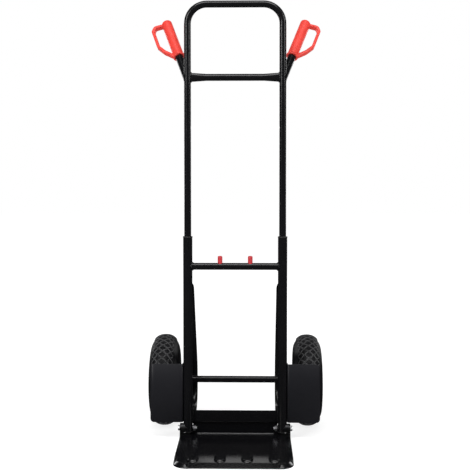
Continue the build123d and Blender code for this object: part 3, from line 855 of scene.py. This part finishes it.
def flangeShape(make):
    # bent up behind the uprights; the end tabs stand higher, behind the cross plate
    half, corner, edge = make["flangeHalf"], make["flangeCorner"], make["flangeEdge"]
    sheet, bend, foot = make["sheet"], make["flangeBend"], make["flangeFootHalf"]
    front = uprightY + make["flangeFront"]
    level = make["height"] - make["flangeSunk"]
    tabInside = half - make["tabLength"]

    def topAt(x):
        away = abs(x)
        tab = smooth((away - tabInside) / make["tabSlope"] + 0.5)
        high = make["flangeTop"] + (toeHigh.z - make["flangeTop"]) * tab
        over = min(max(away - (half - corner), 0), corner)
        high += halfChord(corner, over) - corner
        if away > half:
            drop = halfChord(bowRadius, bowX - away)
            high = min(high, bowLow.z + bowRadius - drop - make["bowGap"])
        if away > foot:
            # low enough to swing under the upright's end
            chord = uprightRadius ** 2 - (uprightX - away) ** 2
            reach = (pivot.z - uprightEnd) ** 2 - make["flangeFront"] ** 2
            high = pivot.z - math.sqrt(max(chord + reach, 0)) - make["swingGap"]
        return high

    stations = [half * math.sin(turn) for turn in quarterTurn(30)]
    stations += [tabInside + make["tabStep"] * step for step in range(-5, 6)]
    stations += [half + (foot - half) * step / 12 for step in range(1, 13)]
    stations += [foot + make["tailGap"] + make["flangeTail"] * step / 8 for step in range(9)]
    outer, soft = bend + sheet, edge * 0.3
    foldFront = [
        (front - bend + bend * math.sin(turn), level + bend - bend * math.cos(turn))
        for turn in quarterTurn(6)
    ]
    foldBack = [
        (front - bend + outer * math.sin(turn), level + bend - outer * math.cos(turn))
        for turn in reversed(quarterTurn(6))
    ]
    rings = []
    for x in sorted({sign * x for x in stations for sign in (1, -1)}):
        high = topAt(x)
        line = [(uprightY, level)] + foldFront
        line += [(front, high - edge), (front + soft, high - soft), (front + edge, high)]
        line += [(front + sheet - edge, high), (front + sheet, high - edge)]
        line += foldBack + [(uprightY, level - sheet)]
        rings.append([Vector((x, y, z)) for y, z in line])
    return skin(rings, capped=True)


def around(points):
    # the convex outline of flat points
    points = sorted(points)

    def chain(line):
        kept = []
        for point in line:
            while len(kept) > 1:
                (ax, ay), (bx, by) = kept[-2], kept[-1]
                if (bx - ax) * (point[1] - ay) > (by - ay) * (point[0] - ax):
                    break
                kept.pop()
            kept.append(point)
        return kept[:-1]

    return chain(points) + chain(points[::-1])


def earShape(make):
    # a lug outside the upright, with a round inside bend at its foot
    radius, foot, high = make["earRadius"], make["earFoot"], make["height"]
    sheet, bend, sunk = make["sheet"], make["earBend"], make["earSunk"]
    points = [
        (pivot.y + radius * math.cos(turn), pivot.z + radius * math.sin(turn))
        for turn in (math.pi * step / 24 for step in range(-8, 33))
    ]
    points += [(uprightY - foot, 0.0), (uprightY - foot, high), (uprightY, 0.0)]
    outline = around(points)
    middle = Vector((pivot.y - foot / 4, pivot.z * 0.6))  # any point well inside
    outer, bevel = toeHalf, make["earBevel"]
    inner = outer - sheet
    rings = []
    for x, shrink in ((outer, bevel), (outer - bevel, 0), (inner + bevel, 0), (inner, bevel)):
        ring = []
        for y, z in outline:
            away = Vector((y, z)) - middle
            away *= 1 - shrink / away.length
            ring.append(Vector((x, middle.x + away.x, middle.y + away.y)))
        rings.append(ring)
    lug = skin(rings, capped=True)
    line = [
        (inner - bend * (1 - math.sin(turn)), high + bend * (1 - math.cos(turn)))
        for turn in quarterTurn(6)
    ]
    line += [(inner + sunk, high + bend), (inner + sunk, high - sunk), (inner - bend, high - sunk)]
    ends = (uprightY - foot, uprightY)
    strip = skin([[Vector((x, y, z)) for x, z in line] for y in ends], capped=True)
    return together([lug, strip])


toeShape = together([panShape(toeMake), flangeShape(toeMake), bothSides(earShape(toeMake))])
toePlate = addPiece(
    "pressed_toe_plate", toeShape, "toe_paint", "toe_plate", sharpAngle=50)
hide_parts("toe_plate")
print("toe plate made")


# wheel guards: a sheet whose inner edge turns back along the upright

guardMake = {
    "sheet": 0.002,
    "bend": 0.005,
    "corner": 0.010,
    "edge": 0.0005,
    "steps": 8,
}


def guardShape(make, low, high):
    # low and high are the right guard's corners; the sheet is drawn at its middle plane
    half, steps = make["sheet"] / 2, make["steps"]
    inner, outer = low.x + half, high.x
    face, back = low.y + half, high.y
    bend, corner, edge = make["bend"], make["corner"], make["edge"]
    flatEnd = outer - corner
    line = [(inner, back)]
    line += [
        (inner + bend - bend * math.cos(turn), face + bend - bend * math.sin(turn))
        for turn in quarterTurn(steps)
    ]
    line += [
        (inner + bend + (flatEnd - inner - bend) * step / steps, face)
        for step in range(1, steps + 1)
    ]
    line += [(flatEnd + corner * math.sin(turn), face) for turn in quarterTurn(steps)[1:]]
    rings = []
    for step, (x, y) in enumerate(line):
        before, after = line[max(step - 1, 0)], line[min(step + 1, len(line) - 1)]
        across = Vector((after[1] - before[1], before[0] - after[0], 0)).normalized()
        cut = corner - halfChord(corner, max(x - flatEnd, 0))
        bottom, top = low.z + cut, high.z - cut
        section = (
            (half, bottom + edge), (half, top - edge), (half - edge, top), (edge - half, top),
            (-half, top - edge), (-half, bottom + edge),
            (edge - half, bottom), (half - edge, bottom),
        )
        rings.append([Vector((x, y, z)) + across * away for away, z in section])
    return skin(rings, capped=True)


for side, shape in eachSide(guardShape(guardMake, guardLow, guardHigh)):
    guard = addPiece(
        side + "_guard_sheet", shape, "sheet_paint", "frame", sharpAngle=50)
    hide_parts(side + "_wheel_guard")
print("wheel guards made")


# weld beads where the tubes meet

weldMake = {
    "bead": 0.0021,
    "ripple": 0.16,  # of the bead's radius
    "ripplePitch": 0.0024,
    "evenShare": 0.6,  # of the even ripples beside the wandering ones
    "wanderScale": 260,
    "taper": 0.35,  # of an open bead's ends
    "pitch": 0.0006,  # between rings, of which there are at least the fewest
    "fewest": 12,
    "segments": 10,
}


def lengthOf(line):
    return sum((after - before).length for before, after in zip(line, line[1:]))


def beadAlong(route, make, endless=False, size=1.0):
    # a rippled bead; open ones taper at both ends
    wanted = max(int(lengthOf(route) / make["pitch"]), make["fewest"])
    loop = route + route[:1] if endless else route
    total = lengthOf(loop)
    dense = []
    for step in range(wanted if endless else wanted + 1):
        target = total * step / wanted
        for before, after in zip(loop, loop[1:]):
            run = (after - before).length
            if target <= run or after is loop[-1]:
                dense.append(before.lerp(after, min(target / run, 1.0) if run else 0.0))
                break
            target -= run
    count = len(dense)

    def radius(step):
        wave = math.sin(2 * math.pi * total * step / count / make["ripplePitch"])
        wander = noise.noise(dense[step] * make["wanderScale"])
        fromEnd = 4 * min(step, count - 1 - step) / count
        taper = 1.0 if endless else min(1.0, make["taper"] + fromEnd)
        ripple = make["ripple"] * (wave * make["evenShare"] + wander)
        return make["bead"] * size * taper * (1 + ripple)

    return swept(dense, radius, make["segments"], endless)


def saddle(middle, radius, foot, way, across, up, count=64):
    # where a branch tube, from foot along way, meets an upright one of that middle and radius;
    # across and up are the branch's half sizes as vectors
    flatWay = Vector((way.x, way.y, 0))
    route = []
    for step in range(count):
        turn = 2 * math.pi * step / count
        rim = across * math.cos(turn) + up * math.sin(turn)
        start = foot - middle + rim
        start.z = 0
        a, b, c = flatWay.dot(flatWay), 2 * start.dot(flatWay), start.dot(start) - radius ** 2
        reach = (-b + math.sqrt(max(b * b - 4 * a * c, 0))) / (2 * a)
        route.append(foot + rim + way * reach)
    return route


seams = {
    "saddleGap": 0.0010,  # of the middle crossbar's bead from the upright's face
    "plateStitches": ((0.06, 0.44), (0.56, 0.94)),  # from and to, as shares of its height
    "guardStitches": (0.02, 0.36, 0.70),
    "guardStitch": 0.17,
    "inset": 0.0004,  # of a stitch inside the sheet's edge
    "proud": 0.0006,  # and outside its face
    "topBead": (-0.0025, 0.0015),  # along the guard's top, from its inner edge
    "topAhead": 0.004,  # in front of the uprights' middle
    "topSlant": 0.2,
    "topProud": 0.0002,
    "axleArc": 62,  # degrees either way round the bow
    "axleSteps": 12,
    "axleBack": 0.72,  # shares of the axle's radius
    "axleUp": 0.74,
    "ovalHalf": 0.005,  # of the upper crossbar's pressed ends
    "handleDrop": 0.004,  # of the handle's foot below the upper crossbar
    "handleBehind": 0.001,  # the uprights' middle starts the handle's bead
}
frameWelds, telescopeWelds = [], []
crossbar, crossbarHalf = middleAndHalf("middle_crossbar")
upperBar, upperBarHalf = middleAndHalf("upper_crossbar")
axle, axleHalf = middleAndHalf("axle")
plateLow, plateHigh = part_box("bottom_cross_plate")


def stitch(x, y, low, high, parts, size=1.0):
    # an upright bead between two shares of a height
    ends = [Vector((x, y, low + (high - low) * part)) for part in parts]
    return beadAlong(ends, weldMake, size=size)


for sign in sides.values():
    tube = Vector((sign * uprightX, uprightY, 0))
    inwards = Vector((-sign, 0, 0))
    start = Vector((sign * uprightX, uprightY, crossbar.z))
    route = saddle(
        tube, uprightRadius + seams["saddleGap"], start, inwards,
        Vector((0, crossbarHalf.z, 0)), Vector((0, 0, crossbarHalf.z)))
    frameWelds.append(beadAlong(route, weldMake, True))

    # the cross plate and the guard are stitched to the upright
    stitchX = sign * (uprightX - uprightRadius - seams["inset"])
    for parts in seams["plateStitches"]:
        frameWelds.append(stitch(
            stitchX, plateLow.y - seams["proud"], plateLow.z, plateHigh.z, parts, size=0.9))
    stitchX = sign * (guardLow.x + seams["inset"])
    for part in seams["guardStitches"]:
        frameWelds.append(stitch(
            stitchX, guardHigh.y + seams["proud"], guardLow.z, guardHigh.z,
            (part, part + seams["guardStitch"])))
    top = []
    for reach in seams["topBead"]:
        x = guardLow.x + reach
        slant = (x - uprightX) * seams["topSlant"]
        top.append(Vector((
            sign * x, uprightY - seams["topAhead"] - slant, guardHigh.z + seams["topProud"])))
    frameWelds.append(beadAlong(top, weldMake, size=0.9))

    # the axle rests on the bow: a bead above and one below
    for above in (-1, 1):
        route = []
        for step in range(seams["axleSteps"] + 1):
            arc = seams["axleArc"]
            turn = math.radians(-arc + 2 * arc * step / seams["axleSteps"])
            route.append(Vector((
                sign * bowX + bowRadius * math.sin(turn),
                axle.y + axleHalf.z * seams["axleBack"] + bowRadius * (1 - math.cos(turn)),
                axle.z + above * axleHalf.z * seams["axleUp"],
            )))
        frameWelds.append(beadAlong(route, weldMake, size=1.1))

    # upper crossbar, pressed to an oval at its ends
    start = Vector((sign * uprightX, uprightY, upperBar.z))
    route = saddle(
        tube, legRadius, start, inwards,
        Vector((0, seams["ovalHalf"], 0)), Vector((0, 0, upperBarHalf.z)))
    telescopeWelds.append(beadAlong(route, weldMake, True))

    # handles, wider than the legs they stand on, so that only the back has a bead
    way = Vector((sign * handleWay.x, handleWay.y, handleWay.z))
    rise = handleEnd.z - upperBar.z + seams["handleDrop"]
    base = handleEnd - handleWay * (rise / handleWay.z)
    base.x *= sign
    acrossWay = way.cross(Vector((0, 0, 1))).normalized()
    upWay = way.cross(acrossWay).normalized()
    route = saddle(tube, legRadius, base, way, acrossWay * handleRadius, upWay * handleRadius, 72)
    back = [point for point in route if point.y > uprightY + seams["handleBehind"]]
    back.sort(key=lambda point: math.atan2((point - base).dot(acrossWay), point.z - base.z))
    telescopeWelds.append(beadAlong(back, weldMake, size=0.8))

addPiece("frame_welds", together(frameWelds), "black_paint", "frame", sharpAngle=60)
addPiece("loop_welds", together(telescopeWelds), "black_paint", "telescope", sharpAngle=60)
print("welds made")


# pivot bolts and nuts, with chamfered hexagons

boltMake = {
    "shank": 0.004,
    "hexWidth": 0.013,
    "nutHeight": 0.0065,
    "nutPlay": 0.00005,
    "headHeight": 0.0053,
    "headOverlap": 0.0002,
    "tipReach": 0.003,  # beyond the nut
    "tipBevel": ((0.0, 0.0008), (0.0006, 0.0002)),  # (along, thinner)
    "threadStart": 0.0008,  # from the tip
    "threadEnd": 0.0064,
    "threadPitch": 0.00125,
    "threadDepth": 0.00035,
    "threadTurns": 4,
    "point": 0.0001,  # radius at the stem's ends
    "segments": 32,
    "hexSegments": 72,
}
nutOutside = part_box("toe_pivot_nuts")[1].x


def hexShape(make, xFrom, xTo, bore=0.0):
    # a hexagon turned down at its corners, about the pivot; domed towards xTo
    flatHalf = make["hexWidth"] / 2
    cornerHalf = flatHalf / math.cos(math.pi / 6)
    bevel = (cornerHalf - flatHalf) * 0.5
    way = 1 if xTo > xFrom else -1
    height = abs(xTo - xFrom)

    def ring(along, limit):
        made = []
        for part in range(make["hexSegments"]):
            turn = 2 * math.pi * part / make["hexSegments"]
            toFlat = (turn + math.pi / 6) % (math.pi / 3) - math.pi / 6
            size = min(flatHalf / math.cos(toFlat), limit)
            y, z = pivot.y + size * math.sin(turn), pivot.z + size * math.cos(turn)
            made.append(Vector((xFrom + way * along, y, z)))
        return made

    rings = [ring(height, bore), ring(0, bore)] if bore else []
    rings += [ring(0, flatHalf * 0.99), ring(bevel, cornerHalf)]
    rings += [ring(height - bevel, cornerHalf), ring(height, flatHalf * 0.96)]
    return skin(rings, endless=bool(bore), capped=not bore)


def pivotBoltShape(make):
    outside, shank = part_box("toe_pivot_bolts")[1].x, make["shank"]
    head = hexShape(make, outside - make["headHeight"], outside)
    tip = nutOutside - make["nutHeight"] - make["tipReach"]
    underHead = outside - make["headHeight"] + make["headOverlap"]
    profile = [(tip, make["point"])]
    profile += [(tip + along, shank - thinner) for along, thinner in make["tipBevel"]]
    for turn in range(make["threadTurns"]):
        start = tip + make["threadStart"] + turn * make["threadPitch"]
        profile += [(start, shank), (start + make["threadPitch"] / 2, shank - make["threadDepth"])]
    profile += [(tip + make["threadEnd"], shank), (underHead, shank), (underHead, make["point"])]
    stem = lathe(profile, (0, pivot.y, pivot.z), (1, 0, 0), make["segments"], capped=True)
    return together([head, stem])


def pivotNutShape(make):
    bore = make["shank"] + make["nutPlay"]
    return hexShape(make, nutOutside, nutOutside - make["nutHeight"], bore)


bolts = addPiece("pivot_bolts", bothSides(pivotBoltShape(boltMake)), "zinc", "frame")
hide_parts("toe_pivot_bolts")
nuts = addPiece("pivot_nuts", bothSides(pivotNutShape(boltMake)), "dull_zinc", "frame")
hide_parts("toe_pivot_nuts")
print("pivot bolts made")


# floor: almost white near the truck, so that it still takes a soft shadow, and white far away

floorMake = {
    "size": 12.0,
    "near": 0.80,  # glow under the truck and far from it
    "far": 1.0,
    "nearEdge": 0.5,  # metres from the middle
    "farEdge": 2.6,
}


floorFinish = Finish("pale_floor", {
    "Roughness": 0.8, "Specular IOR Level": 0.0, "Emission Strength": 1.0})
floorFinish.feed("Base Color", floorFinish.blend(floorFinish.grain(3), grey(0.40), grey(0.42)))
distance = floorFinish.node(
    "ShaderNodeVectorMath", {"operation": "LENGTH"}, {0: floorFinish.place}, out=1)
spread = floorFinish.node("ShaderNodeMapRange", {}, {
    "Value": distance, "From Min": floorMake["nearEdge"], "From Max": floorMake["farEdge"]})
floorFinish.feed("Emission Color", floorFinish.blend(
    spread, grey(floorMake["near"]), grey(floorMake["far"])))
floorMesh = bpy.data.meshes.new("floor")
edge = floorMake["size"]
floorCorners = [(-edge, -edge, 0), (edge, -edge, 0), (edge, edge, 0), (-edge, edge, 0)]
floorMesh.from_pydata(floorCorners, [], [(0, 1, 2, 3)])
floorMesh.materials.append(floorFinish.material)
floor = bpy.data.objects.new("floor", floorMesh)
floor.visible_glossy = False
scene.collection.objects.link(floor)
